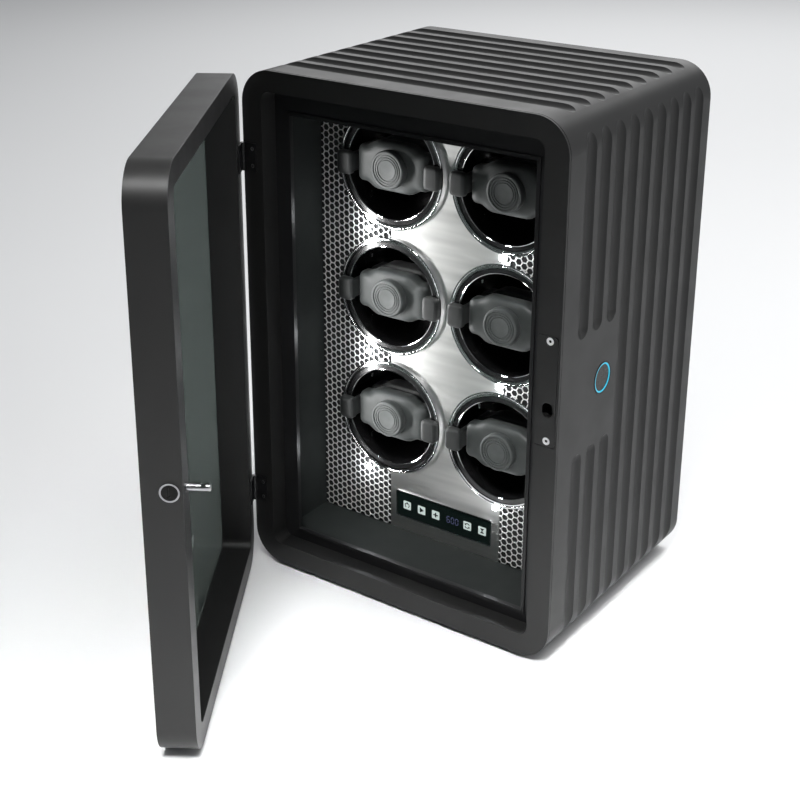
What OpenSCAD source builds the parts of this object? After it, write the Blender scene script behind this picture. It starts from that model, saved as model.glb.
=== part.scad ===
// Six-watch winder box: a fluted matt black case with a glazed door, six belt-driven
// rotors behind a steel and honeycomb panel, and pull-out watch cuffs.
// Frame: origin at the centre of the underside, +X right, +Y to the back, +Z up.
// Depths named *_d are measured backwards from the front face of the case.

/* [Case] */
// Width of the case
case_w = 296; // [294:1:300]
// Depth of the case without its door
case_d = 228; // [226:1:232]
// Height of the case with its base pad
case_h = 440; // [438:1:446]
// Radius of the case's corners seen from the front
corner_r = 28; // [24:1:32]
// Thickness of the case walls up to the lining
wall = 18; // [17:1:18]
// Thickness of the pad under the case
pad_h = 3.5; // [2:0.5:5]

/* [Flutes] */
// Number of flutes on each side and on top
flute_n = 9; // [7:1:9]
// Spacing of the flutes
flute_pitch = 21.85; // [20.6:0.05:21.85]
// Depth of the first flute's centre line
flute_first_d = 32.2; // [31:0.1:32.4]
// Radius of the flutes
flute_r = 10.9; // [10:0.1:12]
// Depth of the flutes
flute_cut = 3; // [2:0.5:3.5]

/* [Front] */
// Width of the front frame's sides
frame_side = 19.5; // [19:0.1:20]
// Height of the front frame's top rail
frame_top = 17; // [16:0.5:17]
// Height of the front frame's bottom rail
frame_bottom = 18.4; // [17.4:0.2:18.8]
// Width of the inner frame's opening
inner_w = 226.4; // [224:0.2:230]
// Height of the inner frame's opening
inner_h = 369.8; // [366:0.2:372]

/* [Door] */
// Thickness of the door
door_t = 28.5; // [27:0.5:32]
// Gap between the closed door and the case
door_gap = 4; // [4:0.2:4.4]
// Angle at which the door stands open
door_open = 57.4; // [30:0.2:100]
// Thickness of the door's glass
glass_t = 3; // [2:0.5:4]

/* [Rotors] */
// Spacing of the rotors, both ways
rotor_pitch = 110.6; // [110:0.2:112]
// Height of the lowest row of rotors
rotor_low_z = 134; // [132:1:136]
// Outer radius of the rotor bezels
bezel_r = 51.5; // [51:0.1:52]
// Outer radius of the rotor cups
cup_r = 47.4; // [47:0.1:47.6]
// Depth of the panel's front face
panel_d = 75; // [74:0.5:76]
// Half the width of the steel plate
steel_half = 55.8; // [55:0.1:56.4]

/* [Cuffs] */
// Width of a cuff over its end tabs
cuff_w = 101; // [99:0.5:102]
// Height of a cuff's middle
cuff_mid_h = 41; // [38:1:42]
// Height of a cuff's ends
cuff_end_h = 31; // [29:1:32]
// Diameter of the raised disc on a cuff
disc_dia = 32; // [30:0.5:34]

/* [Hidden] */
$fn = 64;

// Overlap that lets a cutter break through a face
eps = 1;
// Sideways play between a fixed piece and its pocket
play = 0.2;

// Case and front, in depths from the front face and heights from the ground
side_x = case_w / 2;
face_t = 2;
shadow_gap = 0.6;
rebate_d = 20.6;
frame_block_end_d = 17.2;
inner_frame_d = 17.4;
inner_frame_end_d = 20.4;
open_x = side_x - frame_side;
open_low = pad_h + frame_bottom;
open_high = case_h - frame_top;
open_corner_r = 8;
rebate_x = open_x + 6.2;
rebate_low = open_low - 6.2;
rebate_high = open_high + 6.2;
shell_x = side_x - wall;
floor_z = 26.5;
ceiling_z = case_h - wall;
lining_t = 2;
front_mid_z = (pad_h + case_h) / 2;
open_mid_z = (open_low + open_high) / 2;
rebate_mid_z = (rebate_low + rebate_high) / 2;
inner_mid_z = 217.3;
ledge_x = shell_x - 8;
ledge_d = 157.2;
ledge_end_d = 169;
back_d = case_d - 4.2;
back_t = 4;
back_x = side_x - 9;

// Rotors
rotor_x = rotor_pitch / 2;
rotor_spots = [for (row = [2, 1, 0], side = [-1, 1]) [side * rotor_x, rotor_low_z + row * rotor_pitch]];
hole_r = cup_r + 1;
bezel_t = 2.5;
lip_r = 43;
lip_d = panel_d - 1.8;
cup_wall = 1.6;
cup_floor_d = panel_d + 60;
pulley_d = cup_floor_d + 5;
pulley_r = 24;
pulley_w = 6;
flange_r = 26;
shaft_r = 4;
shaft_end_d = pulley_d + 22;
running = 0.05;
plate_d = 152;
plate_t = 5;
motor_drop = 44;
motor_r = 12;
motor_len = 25;
motor_pulley_r = 6;
motor_shaft_r = 1.5;
belt_t = 1.2;
belt_play = 0.15;
post_x = [-118, 0, 118];
bush_r = 6.5;
cup_ribs_x = 41.4;
cup_rib_w = 4.2;

// Control panel
control_z = 53.4;
control_w = 98.4;
control_h = 25.1;
control_rim = 1.1;
control_gap = 0.1;
control_window_x = 46;
control_window_h = 18;
control_board_d = panel_d + 4.6;
power_board_d = plate_d + plate_t + 4;
board_t = 1.6;

// Lights in the panel, between the rows
led_size = 4;
led_x = [-79, 51];
row_gap_z = [for (row = [0 : 2]) rotor_low_z + (row - 0.5) * rotor_pitch];

// Cuffs
pad_d = panel_d - 2;
disc_d = panel_d - 8;
pad_face_t = 3;
pad_skirt_d = pad_d + 13;
cuff_core_d = pad_d + 9;
cuff_body_d = pad_d + 19;
cuff_back_d = pad_d + 39;
cuff_body_x = 35;
tab_d = panel_d - 9;
tab_x = 15;
tab_h = 20;

// Locking
latch_x = 138.9;
latch_z = 220.6;
peg_r = 3;
lock_d = -door_gap - 9;
lock_x = 142.5;
lock_r = 6.2;
plug_r = 5.7;
peg_base_d = -door_gap - 12;
sensor_d = 67.4;
sensor_z = 225.4;
strike_low = 191;
strike_high = 279.2;
strike_left = open_x;
strike_right = 145.8;
strike_t = 1.2;
strike_screw_z = [195.4, 275.2];
bolt_gap_z = 3.6;

// Hinges
hinge_x = -side_x + 1;
hinge_d = -door_gap / 2;
hinge_z = [70.5, 368];
hinge_h = 23;
knuckle_r = door_gap / 2 - 0.05;
hinge_pin_r = 0.9;
leaf_t = 1.2;
leaf_w = 12.5;

// Back
back_screw_spots = [for (z = [32, 152, 296, 416], x = [-1, 1]) [x * (back_x - 4.5), z]];
socket_x = -95;
socket_z = 62;

// A depth behind the front face, as a Y value
function fy(depth) = depth - case_d / 2;

// A box between two x values, two depths and two heights
module slab(x0, x1, d0, d1, z0, z1) {
    translate([x0, fy(d0), z0]) cube([x1 - x0, d1 - d0, z1 - z0]);
}

// Stands a flat outline up in XZ, from depth d0 to depth d1
module upright(d0, d1) {
    translate([0, fy(d1), 0]) rotate([90, 0, 0]) linear_extrude(d1 - d0) children();
}

// A rod along Y
module rod(x, z, r, d0, d1) {
    translate([x, fy(d1), z]) rotate([90, 0, 0]) cylinder(r = r, h = d1 - d0);
}

// A rod along X
module cross_rod(x0, x1, d, z, r) {
    translate([x0, fy(d), z]) rotate([0, 90, 0]) cylinder(r = r, h = x1 - x0);
}

module rounded_rect(w, h, r) {
    square([w - 2 * r, h], center = true);
    square([w, h - 2 * r], center = true);
    for (sx = [-1, 1], sy = [-1, 1]) translate([sx * (w / 2 - r), sy * (h / 2 - r)]) circle(r);
}

// The case's outline from the front
module front_outline() {
    translate([0, front_mid_z]) rounded_rect(case_w, case_h - pad_h, corner_r, $fn = 96);
}

// The display opening in the front frame and in the door
module opening_outline(grow = 0) {
    translate([0, open_mid_z])
        rounded_rect(2 * (open_x + grow), open_high - open_low + 2 * grow, open_corner_r);
}

module oval_outline(w, h) {
    square([w, h - w], center = true);
    for (s = [-1, 1]) translate([0, s * (h - w) / 2]) circle(d = w);
}

// Everything on the door is drawn closed and swung open here
module on_door() {
    translate([hinge_x, fy(hinge_d), 0]) rotate([0, 0, -door_open])
        translate([-hinge_x, -fy(hinge_d), 0]) children();
}

// ---- Case ----

// A flute that ends in a ball at a given height
module stopped_flute(x, d, z0, z1, ball_z) {
    translate([x, fy(d), z0]) cylinder(r = flute_r, h = z1 - z0);
    translate([x, fy(d), ball_z]) sphere(r = flute_r);
}

module flutes() {
    axis_x = side_x + flute_r - flute_cut;
    ball_reach = sqrt(flute_r * flute_r - (flute_r - flute_cut) * (flute_r - flute_cut));
    stop_low = 174 - ball_reach;
    stop_high = 268.8 + ball_reach;
    for (i = [0 : flute_n - 1]) {
        d = flute_first_d + i * flute_pitch;
        translate([-axis_x, fy(d), 0]) cylinder(r = flute_r, h = case_h);
        translate([-side_x, fy(d), case_h + flute_r - flute_cut])
            rotate([0, 90, 0]) cylinder(r = flute_r, h = case_w);
        if (i < 3) {
            stopped_flute(axis_x, d, 0, stop_low, stop_low);
            stopped_flute(axis_x, d, stop_high, case_h, stop_high);
        } else translate([axis_x, fy(d), 0]) cylinder(r = flute_r, h = case_h);
    }
}

module case_shell() {
    color([0.09, 0.09, 0.09]) difference() {
        upright(face_t + shadow_gap, case_d) front_outline();
        slab(-rebate_x, rebate_x, face_t, rebate_d, rebate_low, rebate_high);
        slab(-shell_x, shell_x, rebate_d - eps, ledge_d, floor_z, ceiling_z);
        slab(-ledge_x, ledge_x, ledge_d - eps, ledge_end_d + eps, floor_z + 8, ceiling_z - 8);
        slab(-shell_x, shell_x, ledge_end_d, case_d + eps, floor_z, ceiling_z);
        slab(-back_x - play, back_x + play, back_d, case_d + eps,
             floor_z - 4 - play, ceiling_z + 4 + play);
        flutes();
        // Lock pocket in the right wall, open to the lining, and the peg's way into it
        slab(shell_x - eps, 144.8, 6, 44, 210, 260);
        upright(face_t, 7) translate([latch_x, latch_z]) oval_outline(10.4, 13);
        // Seat of the fingerprint reader and its wire hole
        cross_rod(137, side_x + eps, sensor_d, sensor_z, 13.2);
        cross_rod(shell_x - eps, 138, sensor_d, sensor_z, 3);
        for (s = back_screw_spots) rod(s[0], s[1], 1.25, back_d - 12, back_d + eps);
    }
}

module front_frame() {
    color([0.1, 0.1, 0.1]) difference() {
        union() {
            upright(0, face_t) front_outline();
            upright(face_t - 0.5, frame_block_end_d) translate([0, rebate_mid_z])
                square([2 * rebate_x - 2 * play, rebate_high - rebate_low - 2 * play], center = true);
        }
        upright(-eps, frame_block_end_d + eps) opening_outline();
        slab(open_x - eps, strike_right + 0.3, -eps, strike_t, strike_low - 0.3, strike_high + 0.3);
        upright(-eps, face_t + eps) translate([latch_x, latch_z]) oval_outline(10.4, 13);
        // Clears the lock pocket behind the strike plate
        slab(132, rebate_x + eps, face_t, frame_block_end_d + eps, 210, 260);
        for (z = strike_screw_z) rod(latch_x, z, 1.3, 0, face_t + eps);
    }
}

module inner_frame() {
    color([0.03, 0.03, 0.03]) difference() {
        union() {
            slab(-rebate_x + play, rebate_x - play, inner_frame_d, inner_frame_end_d,
                 rebate_low + play, rebate_high - play);
            slab(-inner_w / 2 - 3, inner_w / 2 + 3, inner_frame_d - 1.2, inner_frame_end_d,
                 inner_mid_z - inner_h / 2 - 3, inner_mid_z + inner_h / 2 + 3);
        }
        slab(-inner_w / 2, inner_w / 2, 0, inner_frame_end_d + eps,
             inner_mid_z - inner_h / 2, inner_mid_z + inner_h / 2);
    }
}

// Four lined boards between the inner frame and the rotor panel
module cavity_linings() {
    end_d = panel_d - play;
    color([0.17, 0.18, 0.18]) {
        for (s = [-1, 1]) slab(s > 0 ? shell_x - lining_t : -shell_x, s > 0 ? shell_x : -shell_x + lining_t,
                               rebate_d, end_d, floor_z + lining_t, ceiling_z - lining_t);
        slab(-shell_x, shell_x, rebate_d, end_d, floor_z, floor_z + lining_t);
        slab(-shell_x, shell_x, rebate_d, end_d, ceiling_z - lining_t, ceiling_z);
    }
}

module back_panel() {
    color([0.08, 0.08, 0.08]) difference() {
        slab(-back_x, back_x, back_d, back_d + back_t, floor_z - 4, ceiling_z + 4);
        for (s = back_screw_spots) {
            rod(s[0], s[1], 1.6, back_d - eps, back_d + back_t + eps);
            rod(s[0], s[1], 3.1, back_d + back_t - 1.4, back_d + back_t + eps);
        }
        rod(socket_x, socket_z, 5.6, back_d - eps, back_d + back_t + eps);
        for (i = [0 : 6]) upright(back_d - eps, back_d + back_t + eps)
            translate([-36 + 12 * i, 368]) oval_outline(4, 34);
    }
}

module base_pad() {
    color([0.04, 0.04, 0.04])
        slab(-side_x + corner_r + 2, side_x - corner_r - 2, 6, case_d - 6, 0, pad_h);
}

// ---- Rotor panel ----

module rotor_holes(r) {
    for (s = rotor_spots) translate(s) circle(r);
}

module panel_outline(x0, x1) {
    difference() {
        translate([x0, floor_z + lining_t]) square([x1 - x0, ceiling_z - floor_z - 2 * lining_t]);
        rotor_holes(hole_r);
    }
}

// The hole behind the touch glass
module control_window(d0, d1) {
    upright(d0, d1) translate([0, control_z])
        square([2 * control_window_x, control_window_h], center = true);
}

module steel_plate() {
    color([0.75, 0.75, 0.76]) difference() {
        upright(panel_d, panel_d + 1.5) panel_outline(-steel_half, steel_half);
        control_window(panel_d - eps, panel_d + 2);
    }
}

module honeycomb_panels() {
    edge = shell_x - lining_t - play;
    color([0.6, 0.6, 0.6]) upright(panel_d, panel_d + 1.5) {
        panel_outline(-edge, -steel_half - 0.1);
        panel_outline(steel_half + 0.1, edge);
    }
}

module panel_backer() {
    color([0.03, 0.03, 0.03]) difference() {
        upright(panel_d + 1.5, panel_d + 4.5) panel_outline(-shell_x + play, shell_x - play);
        control_window(panel_d, panel_d + 5);
    }
}

module rotor_bezels() {
    color([0.85, 0.85, 0.86]) for (s = rotor_spots)
        translate([s[0], fy(panel_d), s[1]]) rotate([90, 0, 0]) rotate_extrude($fn = 96) difference() {
            translate([cup_r + 0.5, 0]) square([bezel_r - cup_r - 0.5, bezel_t]);
            translate([bezel_r - 1.7, bezel_t]) circle(0.6, $fn = 24);
        }
}

module led_lights() {
    color([0.95, 0.97, 1]) for (x = led_x, z = row_gap_z)
        upright(panel_d - 1, panel_d) translate([x, z]) square(led_size, center = true);
}

module control_bezel() {
    color([0.85, 0.85, 0.86]) upright(panel_d - 1.4, panel_d) translate([0, control_z]) difference() {
        rounded_rect(control_w, control_h, 2);
        rounded_rect(control_w - 2 * control_rim, control_h - 2 * control_rim, 1.2);
    }
}

module control_glass() {
    color([0.03, 0.05, 0.05]) upright(panel_d - 1, panel_d) translate([0, control_z])
        rounded_rect(control_w - 2 * control_rim - 2 * control_gap,
                     control_h - 2 * control_rim - 2 * control_gap, 1.1);
}

// Touch board behind the control glass, and the power and motor board low on the bearing plate
module circuit_boards() {
    color([0.05, 0.3, 0.15]) {
        slab(-50, 50, control_board_d, control_board_d + board_t, 42, 66);
        slab(-45, 45, power_board_d, power_board_d + board_t, 36, 76);
        for (x = [-40, 40]) rod(x, 40, 2, plate_d + plate_t, power_board_d);
    }
}

// ---- Drive ----

module bearing_plate() {
    color([0.5, 0.5, 0.5]) {
        upright(plate_d, plate_d + plate_t) difference() {
            translate([-126, 32]) square([252, 384]);
            for (s = rotor_spots) {
                translate(s) circle(bush_r + running);
                translate([s[0], s[1] - motor_drop]) circle(3);
            }
        }
        for (x = post_x, z = row_gap_z) rod(x, z, 4, panel_d + 4.5, plate_d);
    }
}

module rotor_bearings() {
    color([0.7, 0.55, 0.25]) for (s = rotor_spots) difference() {
        union() {
            rod(s[0], s[1], bush_r, plate_d, plate_d + plate_t + 3);
            rod(s[0], s[1], bush_r + 1.5, plate_d - 1.5, plate_d);
        }
        rod(s[0], s[1], shaft_r + running, plate_d - 2, plate_d + plate_t + 4);
    }
}

module drive_motors() {
    back = plate_d + plate_t;
    color([0.6, 0.6, 0.62]) for (s = rotor_spots) translate([0, 0, -motor_drop]) difference() {
        union() {
            rod(s[0], s[1], motor_r, back, back + motor_len);
            rod(s[0], s[1], 2.8, back - 3, back);
        }
        rod(s[0], s[1], motor_shaft_r + running, back - 4, back + 10);
    }
}

module drive_belts() {
    color([0.05, 0.05, 0.05]) for (s = rotor_spots) upright(pulley_d + 1, pulley_d + pulley_w - 1)
        translate(s) difference() {
            hull() {
                circle(pulley_r + belt_play + belt_t);
                translate([0, -motor_drop]) circle(motor_pulley_r + belt_play + belt_t);
            }
            hull() {
                circle(pulley_r + belt_play);
                translate([0, -motor_drop]) circle(motor_pulley_r + belt_play);
            }
        }
}

// Cup, pulley and shaft turn as one piece
module rotor_cup(i) {
    s = rotor_spots[i];
    front = cup_floor_d + 2 - lip_d;
    color([0.02, 0.02, 0.02]) translate([s[0], fy(cup_floor_d + 2), s[1]]) rotate([90, 0, 0]) {
        rotate_extrude($fn = 96) polygon([
            [0, 0], [cup_r, 0], [cup_r, front], [lip_r, front], [lip_r, front - 2.5],
            [cup_r - cup_wall, front - 2.5], [cup_r - cup_wall, 2], [0, 2]]);
        // Guide ribs that hold a cuff's arms
        for (side = [-1, 1], up = [-1, 1])
            translate([side > 0 ? cup_ribs_x : -cup_ribs_x - cup_rib_w, up > 0 ? 5.3 : -7.8, 18])
                cube([cup_rib_w, 2.5, 40]);
    }
    color([0.1, 0.1, 0.1]) {
        rod(s[0], s[1], 10, cup_floor_d + 1.5, pulley_d);
        rod(s[0], s[1], pulley_r, pulley_d - 0.5, pulley_d + pulley_w);
        rod(s[0], s[1], flange_r, pulley_d - 0.5, pulley_d + 0.5);
        rod(s[0], s[1], flange_r, pulley_d + pulley_w - 0.5, pulley_d + pulley_w + 0.5);
        rod(s[0], s[1], shaft_r, pulley_d + pulley_w, shaft_end_d);
    }
}

module motor_pulley(i) {
    x = rotor_spots[i][0];
    z = rotor_spots[i][1] - motor_drop;
    color([0.75, 0.62, 0.3]) {
        rod(x, z, motor_pulley_r, pulley_d, pulley_d + pulley_w);
        rod(x, z, motor_pulley_r + 1.5, pulley_d - 0.5, pulley_d + 0.5);
        rod(x, z, motor_pulley_r + 1.5, pulley_d + pulley_w - 0.5, pulley_d + pulley_w + 0.5);
        rod(x, z, motor_shaft_r, pulley_d + pulley_w, plate_d + plate_t + 8);
    }
}

// ---- Cuffs ----

// Pillow outline: tall in the middle, lower at its ends
module cuff_outline(shrink) {
    mid = cuff_mid_h / 2;
    end = cuff_end_h / 2;
    offset(r = 3) offset(delta = -3 - shrink) polygon([
        for (sx = [1, -1], up = sx > 0 ? [1, -1] : [-1, 1]) each sx * up > 0
            ? [[sx * 15, up * mid], [sx * 25, up * end * 1.08], [sx * cuff_body_x, up * end]]
            : [[sx * cuff_body_x, up * end], [sx * 25, up * end * 1.08], [sx * 15, up * mid]]]);
}

module cuff(i) {
    s = rotor_spots[i];
    arm_end = cuff_back_d - 4;
    color([0.1, 0.11, 0.11]) translate([s[0], 0, s[1]]) {
        upright(cuff_body_d, cuff_back_d) cuff_outline(0);
        upright(cuff_core_d, cuff_body_d + 0.5) cuff_outline(2.2);
        for (side = [-1, 1]) mirror([side > 0 ? 0 : 1, 0, 0]) {
            // Arm that slides between the cup's ribs
            slab(33, 42, cuff_body_d + 1, arm_end, -5, 5);
            slab(35.6, 41, tab_d + 2, cuff_body_d + 2, -8, 8);
            // End tab in front of the bezel
            upright(tab_d, tab_d + 6.2) translate([(cuff_w - tab_x) / 2, 0])
                offset(r = 4) square([tab_x - 8, tab_h - 8], center = true);
        }
    }
}

module cuff_pad(i) {
    s = rotor_spots[i];
    color([0.13, 0.14, 0.14]) translate([s[0], 0, s[1]]) {
        upright(pad_d, pad_d + pad_face_t) cuff_outline(0);
        upright(pad_d + pad_face_t - 0.5, pad_skirt_d) difference() {
            cuff_outline(0);
            cuff_outline(1.7);
        }
        rod(0, 0, disc_dia / 2, disc_d, pad_d + 0.5);
    }
}

// ---- Lock and fingerprint reader ----

module strike_plate() {
    w = strike_right - strike_left;
    h = strike_high - strike_low;
    color([0.13, 0.13, 0.13]) difference() {
        upright(0, strike_t) difference() {
            union() {
                translate([strike_left, strike_low]) square([w - 4, h]);
                translate([strike_right - 8, strike_low + 4]) square([8, h - 8]);
                for (z = [strike_low + 4, strike_high - 4]) translate([strike_right - 4, z]) circle(4);
            }
            translate([latch_x, latch_z]) oval_outline(9, 11.6);
        }
        for (z = strike_screw_z) rod(latch_x, z, 3.05, -eps, strike_t + eps);
    }
}

module strike_screws() {
    color([0.8, 0.8, 0.8]) for (z = strike_screw_z) difference() {
        union() {
            rod(latch_x, z, 3, 0, strike_t);
            rod(latch_x, z, 1.25, strike_t - 0.2, face_t + shadow_gap - 0.1);
        }
        translate([latch_x, fy(0.9), z]) rotate([90, 0, 0]) cylinder(r = 1.3, h = 2, $fn = 6);
    }
}

module latch_actuator() {
    color([0.35, 0.35, 0.37]) difference() {
        slab(134.5, 144.5, 6.2, 34, 228, 254);
        slab(latch_x - 3.1, latch_x + 3.1, 6.7, 9.3, 227, 250.6);
    }
}

module latch_bolt() {
    low = latch_z + bolt_gap_z;
    color([0.7, 0.7, 0.72]) slab(latch_x - 3, latch_x + 3, 6.8, 9.2, low, low + 23.8);
}

module sensor_bezel() {
    color([0.02, 0.02, 0.02]) difference() {
        cross_rod(139, side_x + 0.3, sensor_d, sensor_z, 13);
        cross_rod(146, side_x + 1, sensor_d, sensor_z, 12.1);
    }
}

module sensor_ring() {
    color([0.15, 0.7, 0.85]) difference() {
        cross_rod(146, side_x, sensor_d, sensor_z, 12);
        cross_rod(145, side_x + 1, sensor_d, sensor_z, 10.8);
    }
}

module sensor_pad() {
    color([0.12, 0.12, 0.11]) cross_rod(146, side_x - 0.4, sensor_d, sensor_z, 10.7);
}

module dc_socket() {
    color([0.04, 0.04, 0.04]) difference() {
        union() {
            rod(socket_x, socket_z, 5.5, back_d - 10, back_d + back_t);
            rod(socket_x, socket_z, 7.5, back_d - 2.5, back_d);
        }
        rod(socket_x, socket_z, 2.75, back_d - 5, back_d + back_t + eps);
    }
}

module back_screws() {
    head = back_d + back_t - 1.4;
    color([0.3, 0.3, 0.3]) for (s = back_screw_spots) difference() {
        union() {
            rod(s[0], s[1], 3, head, back_d + back_t);
            rod(s[0], s[1], 1.2, back_d - 10, head + 0.2);
        }
        translate([s[0], fy(back_d + back_t + eps), s[1]]) rotate([90, 0, 0])
            cylinder(r = 1.2, h = 1.8, $fn = 6);
    }
}

// ---- Hinges ----

// Knuckles and leaf of one hinge half; side is 1 towards the case and -1 towards the door
module hinge_half(z, side, knuckles) {
    third = hinge_h / 3;
    leaf_d = side > 0 ? -leaf_t : -door_gap;
    difference() {
        union() {
            slab(hinge_x, hinge_x + leaf_w, leaf_d, leaf_d + leaf_t, z - hinge_h / 2, z + hinge_h / 2);
            translate([hinge_x, fy(hinge_d), z - hinge_h / 2]) cylinder(r = knuckle_r, h = hinge_h);
        }
        for (k = [0 : 2]) if (!knuckles[k])
            translate([hinge_x, fy(hinge_d), z - hinge_h / 2 + k * third - 0.1])
                cylinder(r = knuckle_r + 0.4, h = third + 0.2);
        translate([hinge_x, fy(hinge_d), z - hinge_h]) cylinder(r = hinge_pin_r + running, h = 2 * hinge_h);
    }
}

module case_hinge_leaves() {
    color([0.06, 0.06, 0.06]) for (z = hinge_z) hinge_half(z, 1, [true, false, true]);
}

module hinge_pins() {
    color([0.5, 0.5, 0.5]) for (z = hinge_z)
        translate([hinge_x, fy(hinge_d), z - hinge_h / 2]) cylinder(r = hinge_pin_r, h = hinge_h);
}

module door_hinge_leaves() {
    color([0.06, 0.06, 0.06]) on_door() for (z = hinge_z) hinge_half(z, -1, [false, true, false]);
}

// ---- Door ----

module door_frame() {
    out_d = -door_gap - door_t;
    color([0.1, 0.1, 0.1]) on_door() difference() {
        upright(out_d, -door_gap) front_outline();
        upright(out_d - eps, -door_gap + eps) opening_outline();
        upright(out_d - eps, out_d + glass_t + 0.6) opening_outline(5.2);
        cross_rod(lock_x - 0.1, side_x + eps, lock_d, latch_z, lock_r + 0.1);
        rod(latch_x, latch_z, peg_r + running, peg_base_d, -door_gap + eps);
    }
}

module door_glass() {
    out_d = -door_gap - door_t + 0.2;
    color([0.3, 0.36, 0.33, 0.5]) on_door() upright(out_d, out_d + glass_t) opening_outline(5);
}

module glass_seal() {
    seal_d = -door_gap - door_t + 0.2 + glass_t;
    color([0.02, 0.02, 0.02]) on_door() upright(seal_d, seal_d + 0.4) difference() {
        opening_outline(5);
        opening_outline(0.5);
    }
}

module lock_body() {
    color([0.85, 0.85, 0.86]) on_door() difference() {
        union() {
            cross_rod(lock_x, side_x, lock_d, latch_z, lock_r);
            cross_rod(side_x, side_x + 1, lock_d, latch_z, lock_r + 0.8);
        }
        cross_rod(lock_x + 0.8, side_x + 2, lock_d, latch_z, plug_r + running);
    }
}

module lock_plug() {
    color([0.02, 0.02, 0.02]) on_door() difference() {
        cross_rod(lock_x + 0.9, side_x + 0.8, lock_d, latch_z, plug_r);
        slab(side_x + 0.3, side_x + 2, lock_d - 0.5, lock_d + 0.5, latch_z - 3.5, latch_z + 3.5);
    }
}

module latch_peg() {
    color([0.85, 0.85, 0.86]) on_door() difference() {
        union() {
            rod(latch_x, latch_z, peg_r, peg_base_d, 12);
            translate([latch_x, fy(12), latch_z]) rotate([-90, 0, 0]) cylinder(r1 = peg_r, r2 = 2, h = 1);
        }
        slab(latch_x - 4, latch_x + 4, 6.3, 9.7, latch_z + 0.6, latch_z + 4);
    }
}

case_shell();
front_frame();
inner_frame();
cavity_linings();
back_panel();
base_pad();
steel_plate();
honeycomb_panels();
panel_backer();
bearing_plate();
rotor_bezels();
rotor_bearings();
drive_motors();
drive_belts();
led_lights();
control_bezel();
control_glass();
circuit_boards();
strike_plate();
strike_screws();
latch_actuator();
latch_bolt();
sensor_bezel();
sensor_ring();
sensor_pad();
dc_socket();
back_screws();
case_hinge_leaves();
hinge_pins();
door_frame();
door_glass();
glass_seal();
door_hinge_leaves();
lock_body();
lock_plug();
latch_peg();
rotor_cup(0);  // rotor_cup_1
rotor_cup(1);  // rotor_cup_2
rotor_cup(2);  // rotor_cup_3
rotor_cup(3);  // rotor_cup_4
rotor_cup(4);  // rotor_cup_5
rotor_cup(5);  // rotor_cup_6
cuff(0);  // cuff_1
cuff(1);  // cuff_2
cuff(2);  // cuff_3
cuff(3);  // cuff_4
cuff(4);  // cuff_5
cuff(5);  // cuff_6
cuff_pad(0);  // cuff_pad_1
cuff_pad(1);  // cuff_pad_2
cuff_pad(2);  // cuff_pad_3
cuff_pad(3);  // cuff_pad_4
cuff_pad(4);  // cuff_pad_5
cuff_pad(5);  // cuff_pad_6
motor_pulley(0);  // motor_pulley_1
motor_pulley(1);  // motor_pulley_2
motor_pulley(2);  // motor_pulley_3
motor_pulley(3);  // motor_pulley_4
motor_pulley(4);  // motor_pulley_5
motor_pulley(5);  // motor_pulley_6
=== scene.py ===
# Looks of the six-watch winder box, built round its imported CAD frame.
import math

import bmesh
import bpy
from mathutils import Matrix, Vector


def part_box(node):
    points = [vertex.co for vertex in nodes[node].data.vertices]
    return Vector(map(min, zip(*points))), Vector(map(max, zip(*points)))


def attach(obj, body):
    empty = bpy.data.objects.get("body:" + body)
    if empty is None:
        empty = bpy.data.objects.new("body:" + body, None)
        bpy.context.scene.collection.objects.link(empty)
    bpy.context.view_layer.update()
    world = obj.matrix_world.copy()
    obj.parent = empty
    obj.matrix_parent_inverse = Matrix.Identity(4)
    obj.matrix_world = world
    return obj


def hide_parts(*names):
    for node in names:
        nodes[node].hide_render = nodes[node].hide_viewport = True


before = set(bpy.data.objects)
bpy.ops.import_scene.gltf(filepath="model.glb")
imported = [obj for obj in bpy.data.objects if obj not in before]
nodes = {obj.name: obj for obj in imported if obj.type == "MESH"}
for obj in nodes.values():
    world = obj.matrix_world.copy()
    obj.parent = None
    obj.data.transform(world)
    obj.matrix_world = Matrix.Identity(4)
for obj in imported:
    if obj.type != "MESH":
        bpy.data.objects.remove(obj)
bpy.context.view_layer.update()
MM = 0.001

# Places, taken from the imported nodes
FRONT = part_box("front_frame")[0].y
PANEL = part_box("steel_plate")[0].y
ROTORS = []
for i in range(1, 7):
    lo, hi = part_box(f"rotor_cup_{i}")
    ROTORS.append(((lo.x + hi.x) / 2, (lo.z + hi.z) / 2))
STEEL_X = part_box("steel_plate")[1].x
SHEET_LO, SHEET_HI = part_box("honeycomb_panels")
GLASS_LO, GLASS_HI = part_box("control_glass")
CUP_HOLE = 48.4 * MM  # radius of the panel's holes for the cups


def panel_depth(d):
    """The y of a place d mm behind the face of the rotor panel; in front of it, d is negative."""
    return PANEL + d * MM


# ---- Camera: the photograph's viewpoint, with a small shift ----

cam_data = bpy.data.cameras.new("camera")
cam_data.lens = 68.3
cam_data.sensor_width = 36
cam_data.shift_x = 0.019
cam_data.shift_y = -0.10
cam_data.clip_end = 60
camera = bpy.data.objects.new("camera", cam_data)
bpy.context.collection.objects.link(camera)
camera.location = (0.636, FRONT - 0.8915, 0.6907)
camera.rotation_euler = (math.radians(90 - 21.47), 0, math.radians(35.86))
bpy.context.scene.camera = camera


# ---- Materials ----

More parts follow.
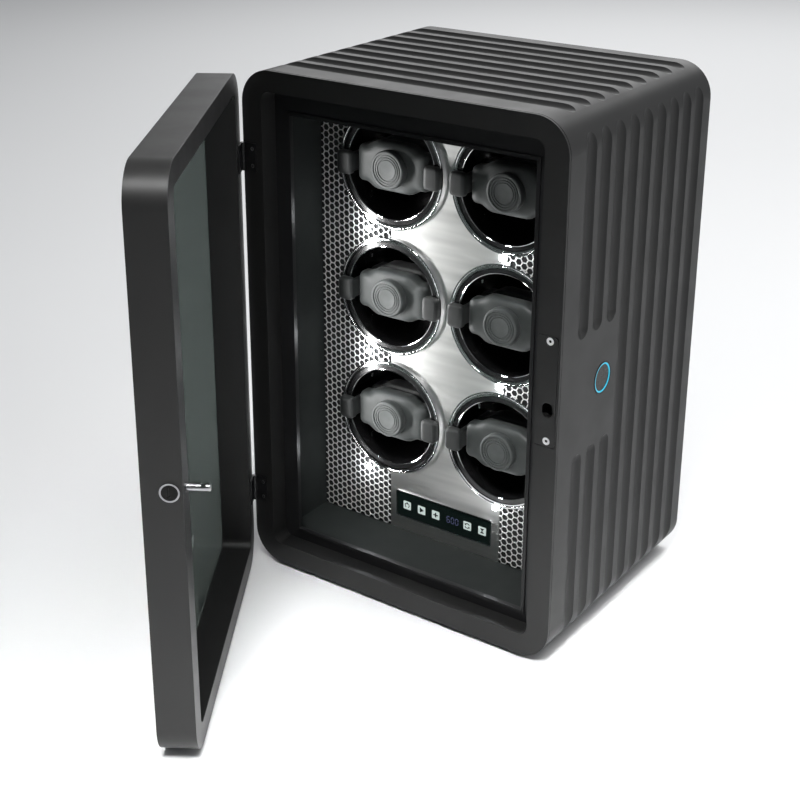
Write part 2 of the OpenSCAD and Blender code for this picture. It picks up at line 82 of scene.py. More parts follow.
class Look:
    """A Principled material with its node tree at hand."""

    def __init__(self, name, colour, roughness, metallic=0.0, **sockets):
        self.material = bpy.data.materials.new(name)
        self.material.use_nodes = True
        self.tree = self.material.node_tree
        self.shader = self.tree.nodes["Principled BSDF"]
        self.set(**{"Base Color": (*colour, 1), "Roughness": roughness, "Metallic": metallic})
        self.set(**{k.replace("_", " "): v for k, v in sockets.items()})
        self.coordinates = self.tree.nodes.new("ShaderNodeTexCoord")
        self.normal = None

    def set(self, **values):
        for key, value in values.items():
            self.shader.inputs[key].default_value = value

    def mapped(self, scale):
        mapping = self.tree.nodes.new("ShaderNodeMapping")
        mapping.inputs["Scale"].default_value = scale
        self.tree.links.new(self.coordinates.outputs["Object"], mapping.inputs["Vector"])
        return mapping.outputs["Vector"]

    def noise(self, scale, detail=3.0, stretch=(1, 1, 1)):
        node = self.tree.nodes.new("ShaderNodeTexNoise")
        node.inputs["Scale"].default_value = scale
        node.inputs["Detail"].default_value = detail
        self.tree.links.new(self.mapped(stretch), node.inputs["Vector"])
        return node.outputs["Fac"]

    def cells(self, scale):
        node = self.tree.nodes.new("ShaderNodeTexVoronoi")
        node.inputs["Scale"].default_value = scale
        self.tree.links.new(self.mapped((1, 1, 1)), node.inputs["Vector"])
        return node.outputs["Distance"]

    def ramp(self, value, low, high):
        """Spreads the middle of a texture's values, 0.3 to 0.7, over low to high."""
        node = self.tree.nodes.new("ShaderNodeMapRange")
        node.inputs["From Min"].default_value = 0.3
        node.inputs["From Max"].default_value = 0.7
        node.inputs["To Min"].default_value = low
        node.inputs["To Max"].default_value = high
        self.tree.links.new(value, node.inputs["Value"])
        return node.outputs["Result"]

    def vary_roughness(self, value, low, high):
        self.tree.links.new(self.ramp(value, low, high), self.shader.inputs["Roughness"])

    def vary_colour(self, value, first, second):
        mix = self.tree.nodes.new("ShaderNodeMix")
        mix.data_type = "RGBA"
        mix.inputs["A"].default_value = (*first, 1)
        mix.inputs["B"].default_value = (*second, 1)
        self.tree.links.new(self.ramp(value, 0, 1), mix.inputs["Factor"])
        self.tree.links.new(mix.outputs["Result"], self.shader.inputs["Base Color"])

    def bump(self, value, depth_mm, strength=1.0):
        node = self.tree.nodes.new("ShaderNodeBump")
        node.inputs["Distance"].default_value = depth_mm * MM
        node.inputs["Strength"].default_value = strength
        self.tree.links.new(value, node.inputs["Height"])
        if self.normal is not None:
            self.tree.links.new(self.normal, node.inputs["Normal"])
        self.normal = node.outputs["Normal"]
        self.tree.links.new(self.normal, self.shader.inputs["Normal"])

    def glow(self, colour, strength):
        self.set(**{"Emission Color": (*colour, 1), "Emission Strength": strength})


def lacquer():
    look = Look("matt_black_lacquer", (0.010, 0.010, 0.010), 0.44, Specular_IOR_Level=0.36)
    look.vary_colour(look.noise(9, 4), (0.009, 0.009, 0.009), (0.0125, 0.0125, 0.012))
    look.vary_roughness(look.noise(35, 5), 0.40, 0.48)
    look.bump(look.noise(1400, 2), 0.02)
    return look.material


def trim():
    look = Look("black_trim", (0.009, 0.009, 0.0095), 0.38, Specular_IOR_Level=0.3)
    look.vary_roughness(look.noise(50, 4), 0.33, 0.44)
    look.bump(look.noise(900, 3), 0.015)
    return look.material


def lining():
    look = Look("soft_touch_lining", (0.011, 0.013, 0.0125), 0.72, Specular_IOR_Level=0.16,
                Sheen_Weight=0.03, Sheen_Roughness=0.45)
    look.vary_colour(look.noise(60, 6), (0.0095, 0.0115, 0.011), (0.013, 0.0155, 0.0145))
    look.bump(look.cells(1500), 0.05)
    look.bump(look.noise(220, 5), 0.05)
    return look.material


def felt():
    look = Look("felt_pad", (0.02, 0.02, 0.02), 0.95, Sheen_Weight=0.4, Sheen_Roughness=0.6)
    look.vary_colour(look.noise(400, 5), (0.013, 0.013, 0.013), (0.03, 0.03, 0.03))
    look.bump(look.noise(1800, 4), 0.15)
    return look.material


def brushed(name="brushed_steel", colour=(0.90, 0.90, 0.88), wave_mm=0.55):
    look = Look(name, colour, 0.3, 1.0, Anisotropic=0.35)
    look.vary_roughness(look.noise(2400, 2, (0.012, 1, 1)), 0.30, 0.37)
    # Painted reflection: broad horizontal bands of lighter and darker colour stand in for the bands of
    # reflected light on the steel
    look.vary_colour(look.noise(75, 2, (0.12, 1, 1)), tuple(c * 0.68 for c in colour), colour)
    look.bump(look.noise(2600, 2, (0.012, 1, 1)), 0.0012)
    look.bump(look.noise(60, 2, (0.16, 1, 1)), wave_mm, 0.8)
    return look.material


def honeycomb():
    look = Look("honeycomb_steel", (0.92, 0.92, 0.91), 0.42, 0.65)
    look.vary_roughness(look.noise(120, 3), 0.38, 0.47)
    look.bump(look.noise(500, 2), 0.001)
    return look.material


def chrome():
    look = Look("chrome", (0.86, 0.86, 0.87), 0.07, 1.0)
    look.vary_roughness(look.noise(150, 3), 0.05, 0.10)
    return look.material


def lock_chrome():
    look = Look("lock_chrome", (0.36, 0.36, 0.37), 0.16, 1.0)
    look.vary_roughness(look.noise(220, 3), 0.12, 0.20)
    return look.material


def lock_face():
    look = Look("lock_face", (0.006, 0.006, 0.006), 0.3, Specular_IOR_Level=0.15)
    look.vary_roughness(look.noise(200, 3), 0.26, 0.36)
    return look.material


def screw_steel():
    look = Look("screw_steel", (0.85, 0.85, 0.85), 0.34, 0.55)
    look.vary_roughness(look.noise(400, 3), 0.28, 0.40)
    return look.material


def plain_steel():
    look = Look("plain_steel", (0.46, 0.46, 0.47), 0.36, 1.0)
    look.vary_roughness(look.noise(90, 4), 0.30, 0.45)
    look.bump(look.noise(600, 3, (1, 1, 0.2)), 0.01)
    return look.material


def bronze():
    look = Look("bearing_bronze", (0.50, 0.34, 0.14), 0.34, 1.0)
    look.vary_colour(look.noise(160, 4), (0.42, 0.28, 0.11), (0.55, 0.38, 0.17))
    look.bump(look.noise(900, 2), 0.01)
    return look.material


def rubber():
    look = Look("belt_rubber", (0.014, 0.014, 0.014), 0.72)
    look.vary_roughness(look.noise(300, 4), 0.65, 0.8)
    look.bump(look.noise(1600, 2), 0.03)
    return look.material


def board():
    look = Look("circuit_board", (0.012, 0.11, 0.045), 0.35, Coat_Weight=0.3)
    look.vary_colour(look.cells(260), (0.008, 0.08, 0.03), (0.02, 0.15, 0.06))
    look.bump(look.cells(380), 0.03)
    return look.material


def gloss_black():
    look = Look("gloss_black", (0.010, 0.010, 0.0105), 0.2, Coat_Weight=0.5, Coat_Roughness=0.1)
    look.vary_roughness(look.noise(60, 3), 0.16, 0.25)
    return look.material


def display_glass():
    look = Look("display_glass", (0.003, 0.007, 0.006), 0.1, Coat_Weight=0.4, Coat_Roughness=0.03)
    look.vary_roughness(look.noise(80, 3), 0.07, 0.14)
    return look.material


def soft_touch(name="cuff_soft_touch", low=(0.010, 0.012, 0.0115), high=(0.015, 0.017, 0.0165)):
    look = Look(name, low, 0.5, Sheen_Weight=0.15, Sheen_Roughness=0.4)
    look.vary_colour(look.noise(130, 5), low, high)
    look.vary_roughness(look.noise(70, 4), 0.44, 0.56)
    look.bump(look.noise(1500, 3), 0.03)
    look.bump(look.noise(110, 3), 0.06)
    return look.material


def tinted_glass():
    look = Look("tinted_door_glass", (0.13, 0.155, 0.145), 0.03, IOR=1.14, Transmission_Weight=1.0)
    look.vary_colour(look.noise(3, 2), (0.126, 0.151, 0.141), (0.134, 0.159, 0.149))
    return look.material


def glowing(name, colour, strength, body=(0.8, 0.8, 0.8)):
    look = Look(name, body, 0.4)
    look.vary_roughness(look.noise(400, 2), 0.35, 0.45)
    look.glow(colour, strength)
    return look.material


def sensor_pad():
    look = Look("sensor_pad_glass", (0.012, 0.013, 0.011), 0.28, Specular_IOR_Level=0.25)
    look.vary_roughness(look.noise(300, 3), 0.24, 0.34)
    look.bump(look.noise(2200, 1, (1, 0.25, 1)), 0.01)
    return look.material


LACQUER, TRIM, LINING, FELT = lacquer(), trim(), lining(), felt()
STEEL, HONEYCOMB, CHROME, PLAIN = brushed(), honeycomb(), chrome(), plain_steel()
BRONZE, RUBBER, BOARD, GLOSS = bronze(), rubber(), board(), gloss_black()
DISPLAY, CUFF, GLASS = display_glass(), soft_touch(), tinted_glass()
# Painted light, partly: besides the cuffs' own two tones, the pads take a lighter copy of the soft-touch
# for the LED light on them, and the cuff bodies and tabs (CUFF) take a darker one for the shade they sit
# in
PAD = soft_touch("pad_soft_touch", (0.036, 0.041, 0.040), (0.048, 0.054, 0.052))
LED = glowing("led_white", (0.92, 0.97, 1.0), 12)
CYAN = glowing("sensor_ring_light", (0.02, 0.38, 0.56), 1.0, (0.02, 0.2, 0.26))
ICON = glowing("icon_light", (0.50, 0.58, 0.55), 0.4, (0.4, 0.45, 0.43))
DIGIT = glowing("digit_light", (0.12, 0.13, 0.30), 0.45, (0.05, 0.05, 0.09))
SENSOR, SCREW = sensor_pad(), screw_steel()
LOCK_CHROME, LOCK_FACE = lock_chrome(), lock_face()
PLATE = brushed("bearing_plate_aluminium", (0.55, 0.55, 0.56), 0.0)

NODE_LOOKS = {
    "case_shell": LACQUER, "inner_frame": TRIM, "cavity_linings": LINING, "back_panel": TRIM,
    "base_pad": FELT, "steel_plate": STEEL, "panel_backer": RUBBER, "bearing_plate": PLATE,
    "rotor_bezels": CHROME, "rotor_bearings": BRONZE, "drive_motors": PLAIN, "drive_belts": RUBBER,
    "led_lights": LED, "control_bezel": CHROME, "control_glass": DISPLAY, "circuit_boards": BOARD,
    "strike_screws": SCREW, "latch_actuator": PLAIN, "latch_bolt": PLAIN, "sensor_bezel": LOCK_FACE,
    "sensor_ring": CYAN, "sensor_pad": SENSOR, "dc_socket": GLOSS, "back_screws": PLAIN,
    "case_hinge_leaves": TRIM, "hinge_pins": PLAIN, "door_glass": GLASS, "glass_seal": RUBBER,
    "door_hinge_leaves": TRIM, "lock_body": LOCK_CHROME, "lock_plug": LOCK_FACE, "latch_peg": LOCK_CHROME,
}
for i in range(1, 7):
    NODE_LOOKS[f"rotor_cup_{i}"] = GLOSS
    NODE_LOOKS[f"motor_pulley_{i}"] = BRONZE
for name, look in NODE_LOOKS.items():
    nodes[name].data.materials.clear()
    nodes[name].data.materials.append(look)


# ---- Mesh helpers ----

def new_piece(name, mesh, body, slot, *looks, smooth=35):
    piece = bpy.data.objects.new(name, mesh)
    bpy.context.collection.objects.link(piece)
    for look in looks:
        if mesh.materials.find(look.name) < 0:
            mesh.materials.append(look)
    for polygon in mesh.polygons:
        polygon.use_smooth = True
    mesh.set_sharp_from_angle(angle=math.radians(smooth))
    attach(piece, body)
    return piece


def mesh_from(name, parts):
    """One mesh from several closed parts, each (points, faces, material index)."""
    points, faces, marks = [], [], []
    for part_points, part_faces, mark in parts:
        start = len(points)
        points += part_points
        faces += [[start + k for k in face] for face in part_faces]
        marks += [mark] * len(part_faces)
    mesh = bpy.data.meshes.new(name)
    mesh.from_pydata(points, [], faces)
    mesh.polygons.foreach_set("material_index", marks)
    bm = bmesh.new()
    bm.from_mesh(mesh)
    bmesh.ops.recalc_face_normals(bm, faces=bm.faces)
    bm.to_mesh(mesh)
    bm.free()
    return mesh


def loft(rings, mark=0, closed=False):
    """Joins rings of equal length; the ends are capped unless the loft closes on itself."""
    count = len(rings[0])
    points = [p for ring in rings for p in ring]
    faces = []
    pairs = len(rings) if closed else len(rings) - 1
    for r in range(pairs):
        a, b = r * count, (r + 1) % len(rings) * count
        for k in range(count):
            n = (k + 1) % count
            faces.append([a + k, a + n, b + n, b + k])
    if not closed:
        faces.append(list(range(count))[::-1])
        faces.append([(len(rings) - 1) * count + k for k in range(count)])
    return points, faces, mark


def lathe(profile, x=0.0, z=0.0, steps=96, mark=0, closed=False):
    """Turns (radius, y) points about a line along Y through (x, z)."""
    turn = [2 * math.pi * k / steps for k in range(steps)]
    rings = [[(x + radius * math.cos(a), y, z + radius * math.sin(a)) for a in turn]
             for radius, y in profile]
    return loft(rings, mark, closed)


def ring_at(outline, y):
    return [(x, y, z) for x, z in outline]


def rounded_rectangle(w, h, r, steps=6, x=0.0, z=0.0):
    points = []
    for sx, sz, start in ((1, 1, 0), (-1, 1, 90), (-1, -1, 180), (1, -1, 270)):
        corner_x, corner_z = x + sx * (w / 2 - r), z + sz * (h / 2 - r)
        for k in range(steps + 1):
            a = math.radians(start + 90 * k / steps)
            points.append((corner_x + r * math.cos(a), corner_z + r * math.sin(a)))
    return points


def prism(outline, y0, y1, mark=0):
    return loft([ring_at(outline, y0), ring_at(outline, y1)], mark)


def softened(node, body, width_mm):
    """Stands for a lacquered CAD node with its sharp edges rounded off by a bevel."""
    source = nodes[node].data
    name = f"{node}_rounded"
    mesh = bpy.data.meshes.new(name)
    mesh.from_pydata([v.co[:] for v in source.vertices], [], [p.vertices[:] for p in source.polygons])
    bm = bmesh.new()
    bm.from_mesh(mesh)
    bmesh.ops.remove_doubles(bm, verts=bm.verts, dist=2e-6)
    bmesh.ops.dissolve_degenerate(bm, edges=bm.edges, dist=1e-6)
    bmesh.ops.dissolve_limit(bm, verts=bm.verts, edges=bm.edges, angle_limit=math.radians(0.4))
    bm.to_mesh(mesh)
    bm.free()
    piece = new_piece(name, mesh, body, "case_lacquer", LACQUER)
    bevel = piece.modifiers.new("edge_rounding", "BEVEL")
    bevel.width = width_mm * MM
    bevel.segments = 3
    bevel.limit_method = "ANGLE"
    bevel.angle_limit = math.radians(40)
    bevel.harden_normals = True
    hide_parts(node)


softened("front_frame", "case", 0.9)
softened("door_frame", "door", 1.1)
softened("strike_plate", "case", 0.18)


# ---- Honeycomb sheets ----

CELL_PITCH = 5.9 * MM
CELL_OPEN = 0.84  # share of a cell that is open, corner to corner
SHEET_T = 0.5 * MM
SHEET_PLAY = 0.1 * MM  # gap between a sheet and the steel plate
HOLE_PLAY = 0.4 * MM  # how far the sheets stay clear of the cups' holes


def honeycomb_sheet(name, x0, x1):
    """A plate of hexagonal cells, clipped to its edges and to the rotor holes."""
    pitch = CELL_PITCH
    corner = pitch / math.sqrt(3)
    hole = corner * CELL_OPEN
    z0, z1 = SHEET_LO.z, SHEET_HI.z
    step_x = corner * 1.5
    keep = CUP_HOLE + HOLE_PLAY

    def clipped(px, pz):
        px, pz = min(max(px, x0), x1), min(max(pz, z0), z1)
        for cx, cz in ROTORS:
            far = math.hypot(px - cx, pz - cz)
            if far < keep:
                px, pz = cx + (px - cx) * keep / far, cz + (pz - cz) * keep / far
        return min(max(px, x0), x1), PANEL, min(max(pz, z0), z1)

    bm = bmesh.new()
    for column in range(int((x1 - x0) / step_x) + 2):
        for row in range(int((z1 - z0) / pitch) + 2):
            cx, cz = x0 + column * step_x, z0 + (row + (column % 2) / 2) * pitch
            if cx > x1 + corner / 2 or cz > z1 + pitch / 2:
                continue
            if any(math.hypot(cx - rx, cz - rz) < keep - pitch * 0.4 for rx, rz in ROTORS):
                continue
            turns = [math.radians(60 * k) for k in range(6)]
            outer = [clipped(cx + corner * math.cos(a), cz + corner * math.sin(a)) for a in turns]
            inner = [clipped(cx + hole * math.cos(a), cz + hole * math.sin(a)) for a in turns]
            ring = [bm.verts.new(p) for p in outer] + [bm.verts.new(p) for p in inner]
            for k in range(6):
                n = (k + 1) % 6
                bm.faces.new((ring[k], ring[n], ring[6 + n], ring[6 + k]))
    bmesh.ops.remove_doubles(bm, verts=bm.verts, dist=5e-5)
    bmesh.ops.dissolve_degenerate(bm, edges=bm.edges, dist=2e-5)
    thin = [f for f in bm.faces if f.calc_area() < 1e-9]
    bmesh.ops.delete(bm, geom=thin, context="FACES")
    bmesh.ops.recalc_face_normals(bm, faces=bm.faces)
    for face in bm.faces:
        if face.normal.y > 0:
            face.normal_flip()
    mesh = bpy.data.meshes.new(name)
    bm.to_mesh(mesh)
    bm.free()
    piece = new_piece(name, mesh, "case", "honeycomb_steel", HONEYCOMB, smooth=30)
    solid = piece.modifiers.new("sheet_thickness", "SOLIDIFY")
    solid.thickness = SHEET_T
    solid.offset = -1
    return piece


left_sheet = honeycomb_sheet("honeycomb_left", SHEET_LO.x, -STEEL_X - SHEET_PLAY)
honeycomb_sheet("honeycomb_right", STEEL_X + SHEET_PLAY, SHEET_HI.x)
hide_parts("honeycomb_panels")


# ---- Cuffs, in mm from the middle of their cup and behind the panel ----

ARM_X, SLIDE_X = 38.4, 37.5
TAB_X, TAB_W, TAB_H = 43, 15, 20
GRIP_X = 47.6  # the thin raised line near a tab's outer edge
# Profiles, as (inset from the outline, depth) and for the disc (radius, depth)
CUFF_BODY = ((4.2, 8.8), (2.8, 9.1), (2.6, 17.0), (1.0, 17.6), (0, 18.6), (0, 30), (1.2, 34),
             (4, 36.6), (8, 37))
CUFF_TAB = ((3.4, -2.9), (0.5, -2.9), (0, -3.4), (0, -6.6), (0.35, -7.6), (1.0, -8.3),
            (2.0, -8.8), (3.4, -9.0), (6.0, -9.0))
PAD_FRONT = ((9, -1.9), (6.5, -1.8), (4.6, -1.5), (3.0, -0.95), (1.7, -0.1), (0.8, 1.0),
             (0.25, 2.4), (0, 4.2), (0, 10.6), (0.3, 11), (1.5, 11), (1.6, 3.3), (5, 3.1), (9, 3.0))
PAD_DISC = ((15.4, -1.3), (15.9, -1.9), (16, -2.6), (16, -6.6), (15.7, -7.4), (15.1, -7.9),
            (14.3, -8), (13.7, -7.9), (13.4, -7.2), (12.6, -7.2), (12.3, -7.7), (11.5, -7.7),
            (11.2, -7.1), (10.5, -7.1), (10.2, -7.6), (9.4, -7.6), (9.1, -7.0), (8.4, -7.0),
            (8.1, -7.4), (5.2, -7.2), (2.6, -7.1), (0.3, -7.05))


def cuff_outline(inset, steps=14):
    """The pillow outline, tall in the middle with waved shoulders, drawn in by inset."""
    half, mid, end, corner = 35 * MM, 20.5 * MM, 15.5 * MM, 4.5 * MM

    def height(x):
        t = min(max((27.5 * MM - abs(x)) / (12 * MM), 0), 1)
        z = end + (mid - end) * t * t * (3 - 2 * t)
        edge = half - abs(x)
        if edge < corner:
            z -= corner - math.sqrt(max(corner * corner - (corner - edge) ** 2, 0))
        return z

    across = [half * math.sin(math.pi / 2 * k / steps) for k in range(-steps, steps + 1)]
    top = [(x, height(x)) for x in across]
    shape = top[::-1] + [(x, -z) for x, z in top]
    most = 0.85  # share of the local height that an inset may take
    return [(x * (half - inset) / half, z - math.copysign(min(inset, most * abs(z)), z)) for x, z in shape]


def cuff_mesh():
    """Body, slide arms and end tabs of a cuff."""
    parts = [loft([ring_at(cuff_outline(inset * MM), panel_depth(d)) for inset, d in CUFF_BODY])]
    for side in (-1, 1):
        arm = rounded_rectangle(5.2 * MM, 15.6 * MM, 1.6 * MM, 4, side * ARM_X * MM)
        parts.append(prism(arm, panel_depth(-7), panel_depth(18.5)))
        slide = rounded_rectangle(8.6 * MM, 9.6 * MM, 1.2 * MM, 4, side * SLIDE_X * MM)
        parts.append(prism(slide, panel_depth(18), panel_depth(34.5)))
        rings = []
        for inset, d in CUFF_TAB:
            w, h = (TAB_W - 2 * inset) * MM, (TAB_H - 2 * inset) * MM
            corner = max(4 - inset * 0.8, 1.2) * MM
            rings.append(ring_at(rounded_rectangle(w, h, corner, 6, side * TAB_X * MM), panel_depth(d)))
        parts.append(loft(rings))
        grip = rounded_rectangle(1.0 * MM, 14 * MM, 0.45 * MM, 3, side * GRIP_X * MM)
        parts.append(prism(grip, panel_depth(-9.0), panel_depth(-8.2)))
    return mesh_from("cuff_mesh", parts)


def pad_mesh():
    """Crowned front pad with its skirt and the raised disc."""
    parts = [loft([ring_at(cuff_outline(inset * MM), panel_depth(d)) for inset, d in PAD_FRONT])]
    parts.append(lathe([(r * MM, panel_depth(d)) for r, d in PAD_DISC], mark=1))
    return mesh_from("cuff_pad_mesh", parts)


CUFF_MESH, PAD_MESH = cuff_mesh(), pad_mesh()
# Painted light, partly: the discs take a still lighter copy of the soft-touch, which stands in for the
# light falling on them as well as giving their own tone
DISC = soft_touch("disc_soft_touch", (0.045, 0.051, 0.050), (0.062, 0.069, 0.067))
for i, (x, z) in enumerate(ROTORS, 1):
    for name, mesh, body, looks in ((f"watch_cuff_{i}", CUFF_MESH, f"cuff_{i}", (CUFF,)),
                                    (f"watch_pad_{i}", PAD_MESH, f"cuff_pad_{i}", (PAD, DISC))):
        piece = new_piece(name, mesh, body, "cuff_soft", *looks, smooth=40)
        piece.parent = None
        piece.location = (x, 0, z)
        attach(piece, body)
        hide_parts(body)


# ---- Rotor trims: the chrome line on a cup's lip, and four small bars inside it ----

LIP = ((42.95, -1.3), (43.0, -1.95), (43.35, -2.1), (43.7, -1.95), (43.75, -1.3))
BAR_X, BAR_Z = 28.5 * MM, 29.0 * MM

for i, (x, z) in enumerate(ROTORS, 1):
    parts = [lathe([(r * MM, panel_depth(d)) for r, d in LIP], x, z, closed=True)]
    for sx in (-1, 1):
        for sz in (-1, 1):
            bar = rounded_rectangle(0.9 * MM, 5.4 * MM, 0.4 * MM, 3, x + sx * BAR_X, z + sz * BAR_Z)
            parts.append(prism(bar, panel_depth(10), panel_depth(11.5)))
    mesh = mesh_from(f"rotor_trim_{i}", parts)
    new_piece(f"rotor_trim_{i}", mesh, f"rotor_{i}", "chrome", CHROME)


# ---- Control panel ----

ICON_X = (-37.6, -22.4, -7.6, 24.9, 39.9)
ICON_W = 7.8 * MM
DIGITS = ((5.5, "acdefg"), (9.8, "abcdef"), (14.1, "abcdef"))  # place and lit strokes: 6, 0, 0


def icon_plate(x, z):
    outline = rounded_rectangle(ICON_W, ICON_W, 0.9 * MM, 4, x, z)
    return prism(outline, GLASS_LO.y - 0.10 * MM, GLASS_LO.y + 0.05 * MM)


def glyph(outline):
    return prism(outline, GLASS_LO.y - 0.16 * MM, GLASS_LO.y, 1)


def ring_glyph(x, z, r, w, a0, a1, steps=24):
    """A part of a ring of radius r and width w, from a0 to a1 degrees."""
    turn = [math.radians(a0 + (a1 - a0) * k / steps) for k in range(steps + 1)]
    out = [(x + (r + w / 2) * math.cos(a), z + (r + w / 2) * math.sin(a)) for a in turn]
    back = [(x + (r - w / 2) * math.cos(a), z + (r - w / 2) * math.sin(a)) for a in reversed(turn)]
    return glyph(out + back)


def control_icons():
    mid = (GLASS_LO.z + GLASS_HI.z) / 2
    spots = [x * MM for x in ICON_X]
    parts = [icon_plate(x, mid) for x in spots]
    mode, play, plus, turn, hourglass = spots
    parts.append(ring_glyph(mode, mid, 2.1 * MM, 0.8 * MM, -60, 240))
    parts.append(glyph(rounded_rectangle(0.8 * MM, 2.4 * MM, 0.3 * MM, 3, mode, mid + 2.0 * MM)))
    parts.append(glyph([(play + x * MM, mid + z * MM) for x, z in ((-1.8, -2.5), (2.5, 0), (-1.8, 2.5))]))
    arm, reach = 0.6 * MM, 2.3 * MM
    parts.append(glyph([(plus + x, mid + z) for x, z in (
        (-arm, -reach), (arm, -reach), (arm, -arm), (reach, -arm), (reach, arm), (arm, arm),
        (arm, reach), (-arm, reach), (-arm, arm), (-reach, arm), (-reach, -arm), (-arm, -arm))]))
    for start in (20, 200):
        parts.append(ring_glyph(turn, mid, 2.2 * MM, 0.8 * MM, start, start + 125, 14))
        tip = math.radians(start + 140)
        parts.append(glyph([(turn + r * MM * math.cos(tip + a), mid + r * MM * math.sin(tip + a))
                            for r, a in ((1.1, -0.35), (3.4, -0.35), (2.2, 0.25))]))
    for up in (-1, 1):
        parts.append(glyph([(hourglass + x * MM, mid + up * z * MM)
                            for x, z in ((-2, 2.3), (2, 2.3), (0.25, 0), (-0.25, 0))][::up]))
    # The display's three digits, as seven-segment strokes
    high, wide, bar, gap = 2.8, 2.7, 0.42, 0.7
    strokes = {"a": (0, high, wide - gap, bar), "g": (0, 0, wide - gap, bar),
               "d": (0, -high, wide - gap, bar),
               "f": (-wide / 2, high / 2, bar, high - gap), "b": (wide / 2, high / 2, bar, high - gap),
               "e": (-wide / 2, -high / 2, bar, high - gap), "c": (wide / 2, -high / 2, bar, high - gap)}
    for place, used in DIGITS:
        for key in used:
            sx, sz, w, h = strokes[key]
            box = rounded_rectangle(w * MM, h * MM, bar * 0.45 * MM, 3, (place + sx) * MM, mid + sz * MM)
            parts.append(prism(box, GLASS_LO.y - 0.08 * MM, GLASS_LO.y, 2))
    return mesh_from("control_icons", parts)


new_piece("control_icons", control_icons(), "case", "display_glass", ICON, DISPLAY, DIGIT)


# ---- Screws: two on each case leaf of the hinges, and the sockets of the strike plate's two ----

HINGE_SCREW_X = 3.4 * MM  # from the leaves' right edge
HINGE_SCREW_Z = (4.5 * MM, 18.5 * MM)  # from their lower and upper ends
LEAF_FACE = FRONT - 1.2 * MM
STRIKE_SCREW_Z = 3 * MM
SOCKET_R = 1.27 * MM


def screw_head(cx, cz, y0, y1):
    """A countersunk head with a cross slot, its top at y0."""
    r = 1.7 * MM
    parts = [lathe([(r * 0.96, y0), (r, y0 + (y1 - y0) * 0.3), (r * 0.8, y1)], cx, cz, 32)]
    for w, h in ((1.7, 0.4), (0.4, 1.7)):
        slot = rounded_rectangle(w * MM, h * MM, 0.12 * MM, 2, cx, cz)
        parts.append(prism(slot, y0 - 0.02 * MM, y0 + 0.05 * MM, 1))
    return parts


hinge_lo, hinge_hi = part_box("case_hinge_leaves")
hinge_parts = []
for z in [hinge_lo.z + up for up in HINGE_SCREW_Z] + [hinge_hi.z - down for down in HINGE_SCREW_Z[::-1]]:
    hinge_parts += screw_head(hinge_hi.x - HINGE_SCREW_X, z, LEAF_FACE - 0.05 * MM, LEAF_FACE + 0.7 * MM)
new_piece("hinge_screws", mesh_from("hinge_screws", hinge_parts), "case", "black_trim", PLAIN, GLOSS)

strike_lo, strike_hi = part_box("strike_screws")
strike_x = (strike_lo.x + strike_hi.x) / 2
corners = [math.radians(60 * k) for k in range(6)]
sockets = []
for z in (strike_lo.z + STRIKE_SCREW_Z, strike_hi.z - STRIKE_SCREW_Z):
    hexagon = [(strike_x + SOCKET_R * math.cos(a), z + SOCKET_R * math.sin(a)) for a in corners]
    sockets.append(prism(hexagon, FRONT + 0.35 * MM, FRONT + 0.89 * MM))
new_piece("strike_screw_sockets", mesh_from("strike_screw_sockets", sockets), "case", "sensor_dark", GLOSS)


# ---- Stage and light ----

FLOOR = 14  # half the floor's width, in metres
STRIP = (-0.112, FRONT + 0.022, 0.22)
LED_SIDES = ((-79, 0.028), (51, 0.016))  # x and power of the lights left and right of the steel
LED_ROWS = (78.7, 189.3, 299.9)

def backdrop_look():
    look = Look("studio_floor", (0.86, 0.865, 0.87), 0.7)
    look.vary_colour(look.noise(0.6, 2), (0.85, 0.855, 0.86), (0.87, 0.875, 0.88))
    return look.material


floor_mesh = bpy.data.meshes.new("floor")
floor_mesh.from_pydata([(-FLOOR, -FLOOR, 0), (FLOOR, -FLOOR, 0), (FLOOR, FLOOR, 0), (-FLOOR, FLOOR, 0)],
                       [], [[0, 1, 2, 3]])
floor_mesh.materials.append(backdrop_look())
floor = bpy.data.objects.new("floor", floor_mesh)
bpy.context.collection.objects.link(floor)


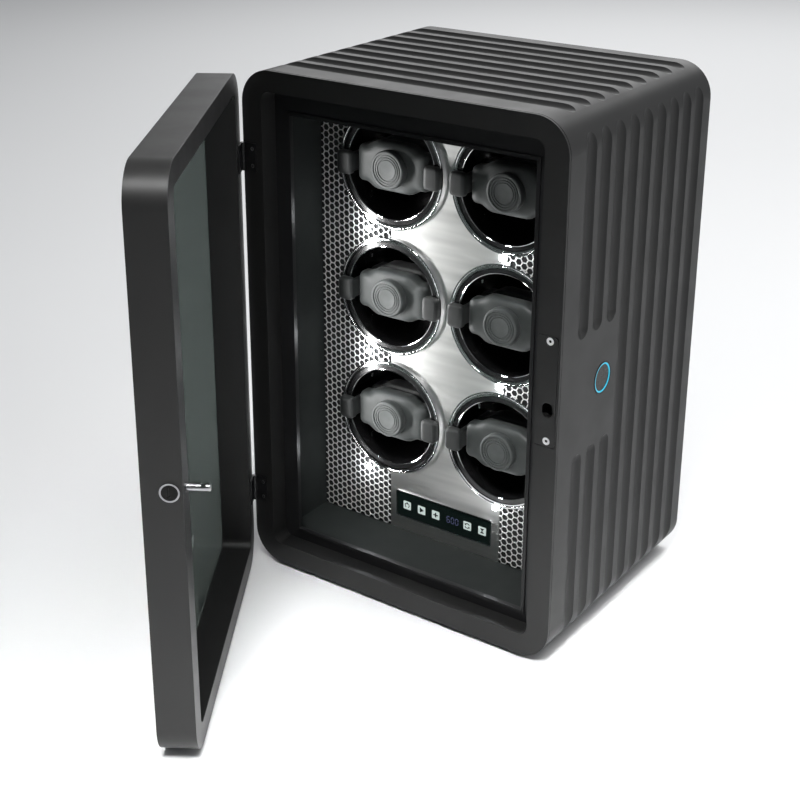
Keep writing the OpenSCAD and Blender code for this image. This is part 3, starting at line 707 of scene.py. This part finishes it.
def softbox(name, place, target, size, power, spread=180):
    data = bpy.data.lights.new(name, "AREA")
    data.shape = "RECTANGLE"
    data.size, data.size_y = size
    data.energy = power
    data.spread = math.radians(spread)
    light = bpy.data.objects.new(name, data)
    bpy.context.collection.objects.link(light)
    light.location = place
    light.rotation_euler = (Vector(target) - Vector(place)).to_track_quat("-Z", "Y").to_euler()
    return light


softbox("side", (1.9, 0.9, 0.9), (0.1, 0, 0.2), (1.8, 1.2), 5.5)
softbox("back", (-0.9, 2.6, 1.6), (0, 1.2, 0), (2.6, 1.2), 26)
softbox("top", (0.7, 0.6, 2.4), (0.2, 0.2, 0), (1.6, 1.6), 20, 110)
softbox("front", (0.45, -1.1, 1.7), (0.12, -0.36, 0), (0.4, 0.4), 2.2, 32)
# Stands for the light strip that the left stile hides: it lights the panel from the left
strip = softbox("strip", STRIP, (0.02, PANEL, STRIP[2]), (0.008, 0.30), 0.24, 110)
strip.visible_camera = False

for i, (lx, lz, power) in enumerate([(x, z, p) for z in LED_ROWS for x, p in LED_SIDES]):
    data = bpy.data.lights.new(f"led_{i}", "POINT")
    data.energy = power
    data.shadow_soft_size = 0.003
    data.color = (0.93, 0.97, 1.0)
    light = bpy.data.objects.new(f"led_{i}", data)
    bpy.context.collection.objects.link(light)
    light.location = (lx * MM, PANEL - 7 * MM, lz * MM)

world = bpy.data.worlds.new("studio")
world.use_nodes = True
backdrop = world.node_tree.nodes["Background"]
backdrop.inputs["Color"].default_value = (0.95, 0.97, 1.0, 1)
# The studio is brighter behind the object and to its right than in front of it
direction = world.node_tree.nodes.new("ShaderNodeTexCoord")
facing = world.node_tree.nodes.new("ShaderNodeVectorMath")
facing.operation = "DOT_PRODUCT"
facing.inputs[1].default_value = (0.55, 0.80, 0.2)
fade = world.node_tree.nodes.new("ShaderNodeMapRange")
fade.inputs["From Min"].default_value = -1
fade.inputs["To Min"].default_value = 0.06
fade.inputs["To Max"].default_value = 0.40
world.node_tree.links.new(direction.outputs["Generated"], facing.inputs[0])
world.node_tree.links.new(facing.outputs["Value"], fade.inputs["Value"])
world.node_tree.links.new(fade.outputs["Result"], backdrop.inputs["Strength"])
bpy.context.scene.world = world
bpy.context.scene.view_settings.view_transform = "Standard"
